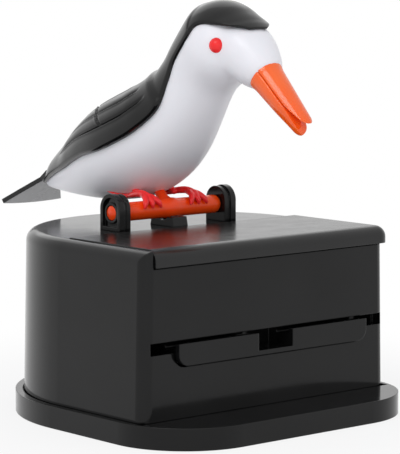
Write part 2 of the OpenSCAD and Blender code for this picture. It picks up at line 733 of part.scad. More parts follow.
// Closed skin over a grid of points: rows of rings, each row closed round on itself. Each end is closed
// by a strip that joins the row's first half to its second.
module ring_skin(rows) {
    n = len(rows[0]);
    last = len(rows) - 1;
    at = function(i, k) i * n + k % n;
    strip = [for (k = [0:n / 2 - 2]) each [[k + 1, k, n - 2 - k], [n - 2 - k, k, n - 1 - k]]];
    polyhedron([for (row = rows) for (p = row) p], concat(
        strip, [for (t = strip) [at(last, t[2]), at(last, t[1]), at(last, t[0])]],
        [for (i = [0:last - 1]) for (k = [0:n - 1]) [at(i, k), at(i, k + 1), at(i + 1, k + 1)]],
        [for (i = [0:last - 1]) for (k = [0:n - 1]) [at(i, k), at(i + 1, k + 1), at(i + 1, k)]]), convexity = 6);
}

// Ball of the head, and the face that narrows from it to the beak's root
module head_solid(grow) {
    steps = 4 * (len(FACE) - 1);
    profile = [for (i = [0:steps]) blend(FACE, i / 4) * bird_k];
    translate([0, HEAD[0], HEAD[1]] * bird_k) sphere(r = HEAD_R * bird_k + grow);
    at_beak_root() rotate_extrude()
        polygon(concat([[0, 0]], [for (p = profile) [p[1] + grow, -p[0]]], [[0, -FACE[len(FACE) - 1][0] * bird_k]]));
}

// Pegs on the spine that locate the shell, measured from the body's surface
module spine_pegs(radius, height) {
    for (ring = [for (u = PEG_RINGS) RINGS[u]])
        translate([0, ring[0], ring[1]] * bird_k) rotate([ring[3] - 90, 0, 0])
            translate([0, 0, ring[2] * bird_k - 3]) cylinder(r = radius, h = 3 + height);
}

module bird_body() {
    last = STEPS * FIRST_HEAD;
    full = [for (i = [0:last]) [for (k = [0:RING_SIDES - 1])
        skin(i / STEPS, 360 * k / RING_SIDES, i == last ? -head_dip : 0)]];
    color(WHITE) at_perch() {
        ring_skin(full);
        head_solid(0);
        spine_pegs(peg_r, peg_h);
    }
}

// Thickness of the shell: rows of feathers step down from the spine to the wing's edge
function shell_grow(u, share) =
    let (wing = min(1, max(0, (SHOULDER - u) / 0.35)), tail = min(1, u / 1.5), row = abs(share) * feather_rows,
         step = 1 - (row - floor(min(row, feather_rows - EPS))))
    shell_t + wing * tail * (0.5 + feather_step * step);

module back_shell() {
    last = STEPS * (len(RINGS) - 1);
    rows = [for (i = [0:last]) let (u = i / STEPS, half = blend(RINGS, u)[4])
        concat([for (k = [0:SHELL_SIDES]) let (share = 2 * k / SHELL_SIDES - 1) skin(u, half * share, shell_grow(u, share))],
               [for (k = [SHELL_SIDES:-1:0]) let (share = 2 * k / SHELL_SIDES - 1) skin(u, half * share, under_shell)])];
    color(BLACK) at_perch() difference() {
        ring_skin(rows);
        spine_pegs(peg_r + fit, peg_h + peg_end_gap);
        head_solid(under_shell / 2);
    }
}

// Fan that leaves the body as a narrow neck and slopes down to a slightly rounded end
module tail_fan() {
    neck = 3.3;
    color(BLACK) at_perch() translate([0, 53.5, 5.6] * bird_k) rotate([-TAIL_DIP, 0, 0])
        translate([0, 0, -tail_t / 2]) linear_extrude(tail_t) intersection() {
            polygon([[-neck, -1.5], [neck, -1.5], [neck, 0.16 * tail_len], [tail_w / 3.1, 0.57 * tail_len],
                     [tail_w / 2, tail_len], [-tail_w / 2, tail_len], [-tail_w / 3.1, 0.57 * tail_len],
                     [-neck, 0.16 * tail_len]]);
            translate([0, -4 * tail_len]) circle(5 * tail_len, $fn = 128);
        }
}

// Beak: a cone split along its length, open in a notch at the tips
module at_beak_root() translate([0, BEAK_ROOT[0] * bird_k, BEAK_ROOT[1] * bird_k]) rotate([90 + BEAK_DIP, 0, 0])
    children();

module beak_half(side) {
    plug = 4;
    at_perch() at_beak_root()
        intersection() {
            union() {
                translate([0, 0, -plug]) cylinder(d = beak_d, h = plug + EPS);
                cylinder(d1 = beak_d, d2 = beak_tip_d, h = beak_len - beak_tip_d / 4);
                translate([0, 0, beak_len - beak_tip_d / 2]) sphere(d = beak_tip_d);
            }
            rotate([90, 0, 90]) linear_extrude(2 * beak_d, center = true) scale([side, 1])
                polygon([[0.15, -plug - 1], [beak_d, -plug - 1], [beak_d, beak_len + 1],
                         [beak_open / 2 + 0.2, beak_len + 1], [beak_open / 2, beak_len - 1], [0.15, beak_len - 5]]);
        }
}

module upper_beak() color(ORANGE) beak_half(1);
module lower_beak() color(ORANGE) beak_half(-1);

module eye(side) color(RED) at_perch() translate([side * EYE[0], EYE[1], EYE[2]] * bird_k) sphere(d = eye_d, $fn = 32);
module left_eye() eye(-1);
module right_eye() eye(1);

// Foot: a strap that arches forward from the belly over the bar, three toes down the bar's front, and a
// spur behind. Places are [outward, back, up] from the middle of the perch axis.
module strand(side, points, sizes) {
    for (i = [0:len(points) - 2]) hull() for (k = [i, i + 1])
        translate([side * points[k][0], points[k][1], points[k][2]]) sphere(d = sizes[k], $fn = 8);
}

module foot(side) {
    front = -perch_r - 0.7;
    over = perch_r + 0.9;
    knuckle = [FOOT_X, -1.2, over];
    color(RED) at_perch() difference() {
        union() {
            strand(side, [[6.2, 9, 4.2], [7.2, 4.5, over + 0.3], knuckle], [2.6, 2.4, 2.4]);
            for (toe = [-1:1]) strand(side,
                [knuckle, [FOOT_X + toe * TOE_SPREAD * 0.9, front + 0.6, 2], [FOOT_X + toe * TOE_SPREAD, front, 0.9]],
                [2.2, 1.9, 1.2]);
            strand(side, [[6.6, 8, 4], [8.2, 16.5, 3]], [2, 0.9]);
        }
        rotate([0, 90, 0]) cylinder(r = perch_r + fit, h = perch_len, center = true);
    }
}
module left_foot() foot(-1);
module right_foot() foot(1);

base_tray();
housing_shell();
refill_lid();
lid_runner();
left_bracket();
right_bracket();
lever_guard();
pick_hopper();
carriage_bed();
rocker_post();
rocker_pin();
spring_anchor();
return_spring();
base_screws();
pick_carriage();
carriage_pin();
rocker_lever();
perch_bar();
crank_arm();
crank_pin();
bird_body();
back_shell();
tail_fan();
upper_beak();
lower_beak();
left_eye();
right_eye();
left_foot();
right_foot();
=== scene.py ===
"""Toothpick dispenser with a pecking bird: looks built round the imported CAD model.

Metres, +Z up, front towards -Y. Shapes are worked out in mm and scaled when their mesh is made.
"""
import json
import math

import bmesh
import bpy
import numpy as np
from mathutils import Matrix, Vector

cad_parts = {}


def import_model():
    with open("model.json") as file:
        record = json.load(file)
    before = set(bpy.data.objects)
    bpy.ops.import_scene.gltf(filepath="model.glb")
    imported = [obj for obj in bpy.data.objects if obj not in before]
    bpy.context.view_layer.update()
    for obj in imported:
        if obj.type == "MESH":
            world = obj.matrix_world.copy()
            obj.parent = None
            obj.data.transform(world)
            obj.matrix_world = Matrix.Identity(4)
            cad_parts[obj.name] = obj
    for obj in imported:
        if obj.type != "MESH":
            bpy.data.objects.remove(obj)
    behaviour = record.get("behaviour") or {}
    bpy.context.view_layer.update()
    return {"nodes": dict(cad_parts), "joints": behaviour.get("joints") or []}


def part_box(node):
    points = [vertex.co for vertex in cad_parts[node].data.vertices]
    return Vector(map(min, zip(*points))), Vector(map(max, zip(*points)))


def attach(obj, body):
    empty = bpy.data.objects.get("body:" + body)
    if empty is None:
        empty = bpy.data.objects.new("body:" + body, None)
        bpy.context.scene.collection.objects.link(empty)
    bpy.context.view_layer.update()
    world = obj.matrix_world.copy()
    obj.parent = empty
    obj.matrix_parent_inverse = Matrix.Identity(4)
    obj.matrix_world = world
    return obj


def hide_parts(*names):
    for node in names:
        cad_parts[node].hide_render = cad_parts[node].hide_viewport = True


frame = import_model()
MM = 0.001
JOINTS = {j["name"]: j for j in frame["joints"]}
PERCH = np.array(JOINTS["bird_peck"]["pos_m"]) / MM     # middle of the perch's axis, mm


# ---------------------------------------------------------------- node trees
class Nodes:
    """Short hand for building the node tree of a material or world."""

    def __init__(self, owner, output):
        owner.use_nodes = True
        self.tree = owner.node_tree
        self.tree.nodes.clear()
        self.out = self.add(output)

    def add(self, kind, inputs=None, **values):
        """A new node with some attributes and input values set."""
        node = self.tree.nodes.new(kind)
        for key, value in values.items():
            setattr(node, key, value)
        for socket, value in (inputs or {}).items():
            node.inputs[socket].default_value = value
        return node

    def link(self, a, b):
        self.tree.links.new(a, b)

    def object_coords(self):
        return self.add("ShaderNodeTexCoord").outputs["Object"]

    def noise(self, coords, scale, detail=3.0, rough=0.5):
        n = self.add("ShaderNodeTexNoise", {"Scale": scale, "Detail": detail, "Roughness": rough})
        self.link(coords, n.inputs["Vector"])
        return n.outputs["Fac"]

    def ramp(self, value, dark, light):
        """Colour that runs from dark to light over the middle of a noise's range."""
        r = self.add("ShaderNodeValToRGB")
        for element, pos, colour in zip(r.color_ramp.elements, NOISE_SPAN, (dark, light)):
            element.position, element.color = pos, (*colour, 1.0)
        self.link(value, r.inputs["Fac"])
        return r.outputs["Color"]

    def span(self, value, low, high):
        """Number that runs from low to high over the middle of a noise's range."""
        m = self.add("ShaderNodeMapRange", {"From Min": NOISE_SPAN[0], "From Max": NOISE_SPAN[1],
                                            "To Min": low, "To Max": high})
        self.link(value, m.inputs["Value"])
        return m.outputs["Result"]

    def bump(self, height, distance, strength, normal=None):
        b = self.add("ShaderNodeBump", {"Distance": distance, "Strength": strength})
        self.link(height, b.inputs["Height"])
        if normal:
            self.link(normal, b.inputs["Normal"])
        return b.outputs["Normal"]

    def seen_plainly(self):
        """1 for rays from the camera and for those that gloss or a clear body sends on, else 0."""
        path = self.add("ShaderNodeLightPath")
        either = self.add("ShaderNodeMath", operation="MAXIMUM")
        self.link(path.outputs["Is Camera Ray"], either.inputs[0])
        self.link(path.outputs["Is Glossy Ray"], either.inputs[1])
        any_of = self.add("ShaderNodeMath", operation="MAXIMUM")
        self.link(either.outputs[0], any_of.inputs[0])
        self.link(path.outputs["Is Transmission Ray"], any_of.inputs[1])
        return any_of.outputs[0]

    def mix_surface(self, share, first, second):
        """Sends a mix of two shaders to the output; share is how much of the second."""
        mix = self.add("ShaderNodeMixShader")
        self.link(share, mix.inputs["Fac"])
        self.link(first, mix.inputs[1])
        self.link(second, mix.inputs[2])
        self.link(mix.outputs["Shader"], self.out.inputs["Surface"])


def new_material(name):
    mat = bpy.data.materials.new(name)
    return mat, Nodes(mat, "ShaderNodeOutputMaterial")


# ---------------------------------------------------------------- materials
NOISE_SPAN = (0.3, 0.7)         # where most of a noise's values lie
DRIFT_SCALE = 45.0              # noise cells per metre: slow drift of the colour,
GLOSS_SCALE = 160.0             # drift of the gloss,
GRAIN_SCALE = 2600.0            # moulding grain,
WAVE_SCALE = 60.0               # and slow waves of the surface
GRAIN_HEIGHT = 0.00002          # heights in metres
WAVE_HEIGHT = 0.0004
SOFT_DEPTH = 0.002              # how far light goes under soft plastic, metres
PAINTED_REFLECTION_Z = (-0.3, -0.5)             # a normal's Z where faces start and end to count as looking down and get the painted reflection of the floor


def plastic(name, dark, light, rough, grain=0.2, wave=0.0, soft=0.0, soft_radius=(1, 1, 1), edge=0.0,
            ior=1.5, painted_floor_reflection=None):
    """Moulded plastic. Its colour drifts from dark to light and its roughness over rough.

    grain and wave are strengths of the two bumps; soft is the share of light that goes under the
    surface, soft_radius how far it goes for each colour; edge is the radius in metres to which
    sharp edges look rounded. The last argument is a paler colour painted on faces that look down:
    a painted reflection of the white floor, not the plastic's own colour.
    """
    mat, n = new_material(name)
    coords = n.object_coords()
    bsdf = n.add("ShaderNodeBsdfPrincipled", {"IOR": ior})
    colour = n.ramp(n.noise(coords, DRIFT_SCALE, 2.0), dark, light)
    # Faces that look down are made paler: a painted reflection of the white floor under them.
    if painted_floor_reflection:
        facing = n.add("ShaderNodeSeparateXYZ")
        n.link(n.add("ShaderNodeTexCoord").outputs["Normal"], facing.inputs[0])
        reflection_share = n.add("ShaderNodeMapRange", {"From Min": PAINTED_REFLECTION_Z[0], "From Max": PAINTED_REFLECTION_Z[1]})
        n.link(facing.outputs["Z"], reflection_share.inputs["Value"])
        painted_reflection = n.add("ShaderNodeMix", data_type="RGBA")
        painted_reflection.inputs["B"].default_value = (*painted_floor_reflection, 1)
        n.link(reflection_share.outputs["Result"], painted_reflection.inputs["Factor"])
        n.link(colour, painted_reflection.inputs["A"])
        colour = painted_reflection.outputs["Result"]
    n.link(colour, bsdf.inputs["Base Color"])
    n.link(n.span(n.noise(coords, GLOSS_SCALE, 4.0, 0.6), *rough), bsdf.inputs["Roughness"])
    if soft:
        bsdf.inputs["Subsurface Weight"].default_value = soft
        bsdf.inputs["Subsurface Radius"].default_value = soft_radius
        bsdf.inputs["Subsurface Scale"].default_value = SOFT_DEPTH
    normal = None
    if edge:
        normal = n.add("ShaderNodeBevel", {"Radius": edge}, samples=6).outputs["Normal"]
    normal = n.bump(n.noise(coords, GRAIN_SCALE, 2.0), GRAIN_HEIGHT, grain, normal)
    if wave:
        normal = n.bump(n.noise(coords, WAVE_SCALE, 1.5), WAVE_HEIGHT, wave, normal)
    n.link(normal, bsdf.inputs["Normal"])
    n.link(bsdf.outputs["BSDF"], n.out.inputs["Surface"])
    return mat


def metal(name, dark, light, rough, grain_scale):
    """Plain bright metal with a fine grain."""
    mat, n = new_material(name)
    coords = n.object_coords()
    bsdf = n.add("ShaderNodeBsdfPrincipled", {"Metallic": 1.0})
    n.link(n.ramp(n.noise(coords, 90.0, 4.0), dark, light), bsdf.inputs["Base Color"])
    n.link(n.span(n.noise(coords, grain_scale, 3.0), *rough), bsdf.inputs["Roughness"])
    n.link(n.bump(n.noise(coords, grain_scale * 2, 2.0), GRAIN_HEIGHT, 0.3), bsdf.inputs["Normal"])
    n.link(bsdf.outputs["BSDF"], n.out.inputs["Surface"])
    return mat


GLOSSY_BLACK = ((0.003, 0.003, 0.0031), (0.0055, 0.0055, 0.0057))
BLACK = plastic("black_gloss", *GLOSSY_BLACK, (0.10, 0.16), grain=0.06, wave=0.02, edge=0.0004, ior=1.33)
LID = plastic("black_lid", *GLOSSY_BLACK, (0.19, 0.25), grain=0.01, wave=0.02, edge=0.0004, ior=1.42)
SHELL = plastic("black_shell", *GLOSSY_BLACK, (0.14, 0.20), grain=0.1, wave=0.015, ior=1.37)
# The tail's underside is painted pale grey on faces that look down: a painted reflection of the white floor.
TAIL = plastic("black_tail", *GLOSSY_BLACK, (0.22, 0.3), edge=0.0003, ior=1.4, painted_floor_reflection=(0.36, 0.36, 0.365))
INNER = plastic("black_inner", (0.007, 0.007, 0.007), (0.012, 0.012, 0.012), (0.4, 0.55),
                edge=0.0003, ior=1.35)
WHITE = plastic("white_plastic", (0.84, 0.835, 0.88), (0.88, 0.875, 0.915), (0.30, 0.42),
                grain=0.1, wave=0.01, soft=0.15, soft_radius=(1.0, 0.8, 0.8))
ORANGE = plastic("orange_plastic", (0.97, 0.06, 0.003), (1.0, 0.085, 0.006), (0.18, 0.28),
                 grain=0.1, wave=0.02, soft=0.1, soft_radius=(1.0, 0.3, 0.1), edge=0.0003, ior=1.38)
BEAK = plastic("orange_beak", (0.95, 0.11, 0.01), (1.0, 0.15, 0.018), (0.10, 0.16),
               grain=0.1, wave=0.03, soft=0.12, soft_radius=(1.0, 0.35, 0.1))
RED = plastic("red_plastic", (0.94, 0.022, 0.024), (1.0, 0.038, 0.04), (0.16, 0.26),
              grain=0.1, wave=0.03, soft=0.15, soft_radius=(1.0, 0.2, 0.15), ior=1.36)
NATURAL = plastic("natural_plastic", (0.68, 0.67, 0.6), (0.76, 0.75, 0.69), (0.35, 0.5), edge=0.0003)
STEEL = metal("bright_steel", (0.52, 0.52, 0.54), (0.62, 0.62, 0.64), (0.2, 0.32), 1500.0)


def dress(names, mat):
    """Gives CAD nodes that show as they are their material."""
    for name in names:
        mesh = frame["nodes"][name].data
        mesh.materials.clear()
        mesh.materials.append(mat)


dress(["base_tray", "housing_shell", "left_bracket", "right_bracket", "lever_guard", "pick_carriage"], BLACK)
dress(["tail_fan"], TAIL)
dress(["refill_lid", "lid_runner"], LID)
dress(["pick_hopper", "carriage_bed", "rocker_post", "spring_anchor", "crank_arm"], INNER)
dress(["rocker_pin", "base_screws", "carriage_pin", "crank_pin"], STEEL)
dress(["rocker_lever"], NATURAL)
dress(["left_eye", "right_eye"], RED)


# ---------------------------------------------------------------- mesh helpers
def step(x):
    """Smooth step from 0 at x = 0 to 1 at x = 1."""
    x = min(max(x, 0.0), 1.0)
    return x * x * (3 - 2 * x)


def bell(x, width):
    return math.exp(-(x / width) ** 2)


def spline(rows, u):
    """Catmull-Rom curve through rows."""
    i = min(int(math.floor(u)), len(rows) - 2)
    t = u - i
    a, b, c, d = rows[max(i - 1, 0)], rows[i], rows[i + 1], rows[min(i + 2, len(rows) - 1)]
    return 0.5 * (2 * b + (c - a) * t + (2 * a - 5 * b + 4 * c - d) * t * t
                  + (3 * b - a - 3 * c + d) * t ** 3)


def directions(line):
    """Unit direction of a line of points at each of them."""
    along = np.gradient(line, axis=0)
    return along / np.linalg.norm(along, axis=1)[:, None]


def circle(centre, radius, a, b, sides):
    """Points of a circle in the plane of the unit vectors a and b."""
    return [centre + radius * (math.cos(2 * math.pi * k / sides) * a + math.sin(2 * math.pi * k / sides) * b)
            for k in range(sides)]


def across(direction, hint):
    """Two unit vectors at right angles to a direction and to each other."""
    a = np.cross(direction, hint)
    a /= np.linalg.norm(a)
    return a, np.cross(direction, a)


def skin_faces(rows, cols):
    """Quads of a grid of points, row after row, each row's end joined to its start."""
    i, k = np.meshgrid(np.arange(rows - 1), np.arange(cols), indexing="ij")
    a, b = i * cols + k, i * cols + (k + 1) % cols
    return np.stack([a, b, b + cols, a + cols], -1).reshape(-1, 4).tolist()


def solid_faces(rows, cols):
    """The same with a flat face at either end."""
    last = (rows - 1) * cols
    return skin_faces(rows, cols) + [list(range(cols))[::-1], [last + k for k in range(cols)]]


def tube(path, radii, sides=20):
    """Points and faces of a tapered tube with round ends along a smooth path."""
    path, radii = np.array(path, float), np.array(radii, float)
    per_span, cap_angles = 8, np.linspace(0.25, 1.5, 5)
    places = np.linspace(0, len(path) - 1, per_span * (len(path) - 1) + 1)
    line = np.array([spline(path, u) for u in places])
    size = np.array([spline(radii[:, None], u)[0] for u in places])
    along = directions(line)
    start, end = ([(line[i] + sign * along[i] * size[i] * math.sin(t), size[i] * math.cos(t), along[i])
                   for t in cap_angles] for i, sign in ((0, -1), (-1, 1)))
    rings = start[::-1] + list(zip(line, size, along)) + end
    hint = np.array([0.31, 0.2, 1.0])
    points = [p for centre, r, t in rings for p in circle(centre, r, *across(t, hint), sides)]
    return points, solid_faces(len(rings), sides)


def revolve(profile, origin, axis, sides=64):
    """Closed surface of (distance along axis, radius) pairs about an axis."""
    axis = axis / np.linalg.norm(axis)
    a, b = across(axis, ASIDE if abs(axis[0]) < 0.9 else np.array([0, 0, 1.0]))
    points = [p for s, r in profile for p in circle(origin + axis * s, r, a, b, sides)]
    return points, solid_faces(len(profile), sides)


def join(parts):
    """One list of points and faces from several."""
    points, faces = [], []
    for p, f in parts:
        base = len(points)
        points += [np.asarray(q) for q in p]
        faces += [[i + base for i in face] for face in f]
    return points, faces


def mesh_piece(name, points, faces, mat, node, body, slot):
    """A new piece from points in mm that stands for a CAD node."""
    mesh = bpy.data.meshes.new(name)
    mesh.from_pydata([tuple(float(c) * MM for c in p) for p in points], [],
                     [tuple(int(i) for i in f) for f in faces])
    mesh.validate()
    bm = bmesh.new()
    bm.from_mesh(mesh)
    bmesh.ops.recalc_face_normals(bm, faces=bm.faces)
    bm.to_mesh(mesh)
    bm.free()
    mesh.polygons.foreach_set("use_smooth", [True] * len(mesh.polygons))
    mesh.materials.append(mat)
    obj = bpy.data.objects.new(name, mesh)
    bpy.context.scene.collection.objects.link(obj)
    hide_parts(node)
    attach(obj, body)
    return obj


def apply_modifiers(obj):
    """Puts the mesh that the modifiers make in the place of the object's own."""
    made = bpy.data.meshes.new_from_object(obj.evaluated_get(bpy.context.evaluated_depsgraph_get()))
    obj.modifiers.clear()
    old, obj.data = obj.data, made
    if not len(made.materials):
        made.materials.append(old.materials[0])
    made.polygons.foreach_set("use_smooth", [True] * len(made.polygons))
    bpy.data.meshes.remove(old)


def melt(obj, voxel, rounds):
    """Joins overlapping closed forms into one skin and rounds the creases between them."""
    remesh = obj.modifiers.new("melt", "REMESH")
    remesh.mode, remesh.voxel_size = "VOXEL", voxel * MM
    remesh.use_smooth_shade = True
    soft = obj.modifiers.new("soft", "SMOOTH")
    soft.factor, soft.iterations = 0.5, rounds
    apply_modifiers(obj)


# ---------------------------------------------------------------- bird
# Rings from the tail's root to the cap's tip: y, z, radius, tilt of the ring's back in degrees,
# half angle under the shell in degrees
RINGS = np.array([
    [55.4, 3.2, 1.5, 74, 96], [49.8, 4.7, 3.7, 74, 85], [43.8, 6.4, 5.9, 74, 84], [37.2, 8.3, 8.2, 73, 85],
    [30.2, 10.5, 10.6, 71, 85], [22.6, 12.7, 12.7, 68, 85], [14, 15.4, 14.1, 63, 88], [6, 19, 14.1, 56, 91],
    [-1, 23.6, 13, 48, 95], [-7.7, 29.8, 11.2, 41, 97], [-12.8, 36, 10.2, 38, 84], [-16.4, 40.5, 10.3, 42, 76],
    [-23, 46.2, 11.5, 55, 74], [-23, 46.2, 11.5, 75, 70], [-23, 46.2, 11.5, 95, 61], [-23, 46.2, 11.5, 115, 54],
    [-23, 46.2, 11.8, 132, 47], [-23, 46.2, 12.8, 146, 36], [-23, 46.2, 14, 155, 23],
    [-23, 46.2, 14.9, 161, 11]], float)
LAST = len(RINGS) - 1
FIRST_HEAD = 12                     # the first ring about the ball of the head
HEAD = np.array([0, -23, 46.2])
HEAD_RADIUS = 11.5
BODY_SIDES = 64

BEAK_ROOT = np.array([0, -40.65, 38.55])
BEAK_DIP = math.radians(41.5)
AHEAD = np.array([0, -math.cos(BEAK_DIP), -math.sin(BEAK_DIP)])     # along the beak, towards its tip
OVER = np.array([0, -math.sin(BEAK_DIP), math.cos(BEAK_DIP)])       # up from the beak
ASIDE = np.array([1.0, 0, 0])
# Sections of the face: distance behind the beak's root, radius on top; half width, depth below
FACE = np.array([[0, 4.85], [1.7, 5.7], [3.6, 6.4], [7.4, 7.05], [11, 7.1], [14, 6.2], [16, 4.6]])
CHEEK = np.array([[4.85, 4.85], [5.8, 5.8], [6.6, 6.7], [7.8, 8.2], [8.3, 9.6], [8.5, 10.5], [8.6, 11]])


def ring_point(ring, angle, grow):
    """Point at an angle from the ring's back, grow mm outside the ring."""
    r, tilt = ring[2] + grow, math.radians(ring[3])
    return PERCH + np.array([r * math.sin(angle), ring[0] + r * math.cos(angle) * math.cos(tilt),
                             ring[1] + r * math.cos(angle) * math.sin(tilt)])


def face_form():
    """Points and faces of the tapered form between the head and the beak's root."""
    turns = [2 * math.pi * k / BODY_SIDES for k in range(BODY_SIDES)]
    places = np.linspace(len(FACE) - 1, 0, 49)
    points = []
    for u in places:
        back, top = spline(FACE, u)
        wide, deep = spline(CHEEK, u)
        for w in turns:
            high = (top if math.cos(w) > 0 else deep) * math.cos(w)
            points.append(PERCH + BEAK_ROOT - AHEAD * back + ASIDE * wide * math.sin(w) + OVER * high)
    return points, solid_faces(len(places), BODY_SIDES)


def soften_cheek(obj):
    """Rounds the skin further between head, jaw and beak."""
    group = obj.vertex_groups.new(name="cheek")
    root = (PERCH + BEAK_ROOT) * MM
    for v in obj.data.vertices:
        place = (np.array(v.co) - root) / MM
        back, over = -place @ AHEAD, place @ OVER
        # full from 6 to 18 mm behind the beak's root and up to 2.5 mm over its axis
        share = step((back - 2.5) / 3.5) * step((22 - back) / 4) * step((5.0 - over) / 2.5)
        if share > 0:
            group.add([v.index], share, "REPLACE")
    soft = obj.modifiers.new("cheek", "SMOOTH")
    soft.factor, soft.iterations, soft.vertex_group = 0.5, 170, "cheek"
    apply_modifiers(obj)
    obj.vertex_groups.clear()


def bird_body():
    places = np.linspace(0, FIRST_HEAD, 97)
    loft = [ring_point(spline(RINGS, u), 2 * math.pi * k / BODY_SIDES, 0)
            for u in places for k in range(BODY_SIDES)]
    ball = [(-HEAD_RADIUS * math.cos(t), HEAD_RADIUS * math.sin(t))
            for t in np.linspace(0.02, math.pi - 0.02, 40)]
    forms = join([(loft, solid_faces(len(places), BODY_SIDES)),
                  revolve(ball, PERCH + HEAD, np.array([0, 0, 1.0])), face_form()])
    obj = mesh_piece("bird_skin", *forms, WHITE, "bird_body", "bird", "white_plastic")
    melt(obj, 0.4, 14)
    soften_cheek(obj)


# The shell. u counts rings from the tail's root; a share is a share of the ring's half angle.
GROOVES = (0.26, 0.515, 0.73)       # shares at which the grooves between the rows of feathers run
STARTS = (8.45, 8.75, 9.0)          # u where each groove starts at the shoulder
ENDS = (3.2, 3.7, 3.0)              # and where it fades towards the tail
SHOULDER = 9.45                     # u where the wings start
CAP_HEIGHT = 1.05                   # height over the body at cap and nape, mm
WING_HEIGHT = 0.92                  # and how much more on the wings
SHARE_MM = 19.5                     # mm to a share across the back, roughly
RING_MM = 8.0                       # mm from ring to ring along the back, roughly
PILLOW = 0.34                       # how far each row's back rises
ROWS_RISE = (8.9, 2.6)              # u where the rows' backs start and end
GROOVE_DEPTH = 0.85
GROOVE_WIDTHS = (0.46, 0.3)         # half widths towards the spine and away from it, mm
RIDGE = 0.26                        # raised line beside each groove,
RIDGE_PLACE = 0.66                  # this far from it
RIDGE_WIDTH = 0.28
CROSS_DEPTH = 0.6                   # cross groove where the upper rows end,
CROSS_WIDTH = 0.34
CROSS_RIDGE = 0.18                  # and the raised line above it,
CROSS_RIDGE_PLACE = 0.7             # this far from it
CROSS_RIDGE_WIDTH = 0.4
CROSS_SHARES = (0.06, 0.73)         # the cross groove runs between these shares,
CROSS_U, CROSS_SHARE = 5.75, 0.3    # through this u at this share,
CROSS_SLANT = 1.95                  # and climbs by so many rings to a share
EDGE_ROUND = 1.0                    # radius of the shell's edge
SUNK = 0.05                         # height that remains at the very edge
SHELL_INSIDE = 0.03                 # the inside's height over the body


def wing_relief(u, s):
    """How far grooves and ridges raise the shell at share s (0 or more) of ring u."""
    height = 0.0
    for line, start, end in zip(GROOVES, STARTS, ENDS):
        d = (s - line) * SHARE_MM
        depth = step((start - u) / 0.5) * step((u - end) / 0.9)
        height -= GROOVE_DEPTH * depth * bell(d, GROOVE_WIDTHS[d > 0])
        height += RIDGE * depth * bell(d - RIDGE_PLACE, RIDGE_WIDTH)
    low, high = CROSS_SHARES
    if low < s < high:
        d = (u - (CROSS_U + (s - CROSS_SHARE) * CROSS_SLANT)) * RING_MM
        depth = step((s - low) / 0.05) * step((high - s) / 0.02)
        height -= CROSS_DEPTH * depth * bell(d, CROSS_WIDTH)
        height += CROSS_RIDGE * depth * bell(d + CROSS_RIDGE_PLACE, CROSS_RIDGE_WIDTH)
    return height


def shell_height(u, share, reach):
    """Height of the shell over the body; reach is the distance in mm to the shell's edge."""
    s = abs(share)
    wing = step((SHOULDER - u) / 0.32) * step(u / 1.6)
    rows = (0.0, *GROOVES, 1.0)
    row = sum(s > line for line in GROOVES)
    place = (s - rows[row]) / (rows[row + 1] - rows[row])
    pillow = PILLOW * (1 - (2 * place - 0.9) ** 2) if row or s > 0.02 else 0.3
    first, last = ROWS_RISE
    rise = wing * step((first - u) / 0.8) * step((u - last) / 1.2) * max(pillow, -0.1)
    height = CAP_HEIGHT + WING_HEIGHT * wing + rise * (0.6 if row == 0 else 1) + wing_relief(u, s)
    lip = math.sqrt(max(0.0, 1 - (1 - min(reach / EDGE_ROUND, 1)) ** 2))
    return SUNK + (height - SUNK) * (0.12 + 0.88 * lip)


def back_shell():
    per_ring = 18
    places = np.linspace(0, LAST, per_ring * LAST + 1)
    near_grooves = [np.linspace(line - 0.045, line + 0.045, 15) for line in GROOVES]
    near_edge = 1 - np.linspace(0, 1, 9) ** 2 * 0.08
    shares = np.unique(np.concatenate([np.linspace(0, 1, 61), *near_grooves, near_edge]))
    shares = np.concatenate([-shares[:0:-1], shares])
    points = []
    for u in places:
        ring = spline(RINGS, u)
        half = math.radians(ring[4])
        to_end = min(1.8 * (LAST - u) + 0.12, u * 6.0 + 0.15)       # to the cap's tip or the tail's root
        for s in shares:
            to_side = (ring[2] + 1) * half * (1 - abs(s))
            points.append(ring_point(ring, half * s, shell_height(u, s, min(to_side, to_end))))
        points += [ring_point(ring, half * s, SHELL_INSIDE) for s in shares[::-1]]
    n, cols = len(shares), 2 * len(shares)
    faces = skin_faces(len(places), cols)
    for base, turn in ((0, 1), ((len(places) - 1) * cols, -1)):
        for k in range(n - 1):
            faces.append([base + k, base + k + 1, base + cols - 2 - k, base + cols - 1 - k][::-turn])
    mesh_piece("feathered_shell", points, faces, SHELL, "back_shell", "bird", "black_gloss")


BEAK_LENGTH = 20.2
BEAK_TIP = 2.3                      # length of the round tip
BEAK_RADII = (4.66, 2.95)           # at the root and at the tip
BEAK_CORNER = 0.3                   # rounding where the flat side meets the round one
BEAK_PLUG = 3.5                     # length inside the face
FLARE, FLARE_LENGTH = 0.2, 0.9      # widening where the beak leaves the face
SPLIT = 1.9                         # height of the split over the beak's axis at the root,
SPLIT_FALL = 1.15                   # and how much lower it is at the tip
GAP, GAP_GROWTH = 0.1, 0.18         # half the gap at the root, and how much wider at the tip
GAP_TIP, BEAK_OPEN = 1.05, 9.0      # with this on top, over this length before the tip
TONGUE = 11.0                       # the lower half narrows over this length, so that the tips part,
TONGUE_LOSS = 0.34                  # by this share


def bend(p, q, corner):
    """Three points that round the corner between p and q."""
    p, q, c = np.array(p), np.array(q), np.array(corner)
    return [tuple((1 - f) ** 2 * p + 2 * f * (1 - f) * c + f * f * q) for f in (0.25, 0.5, 0.75)]


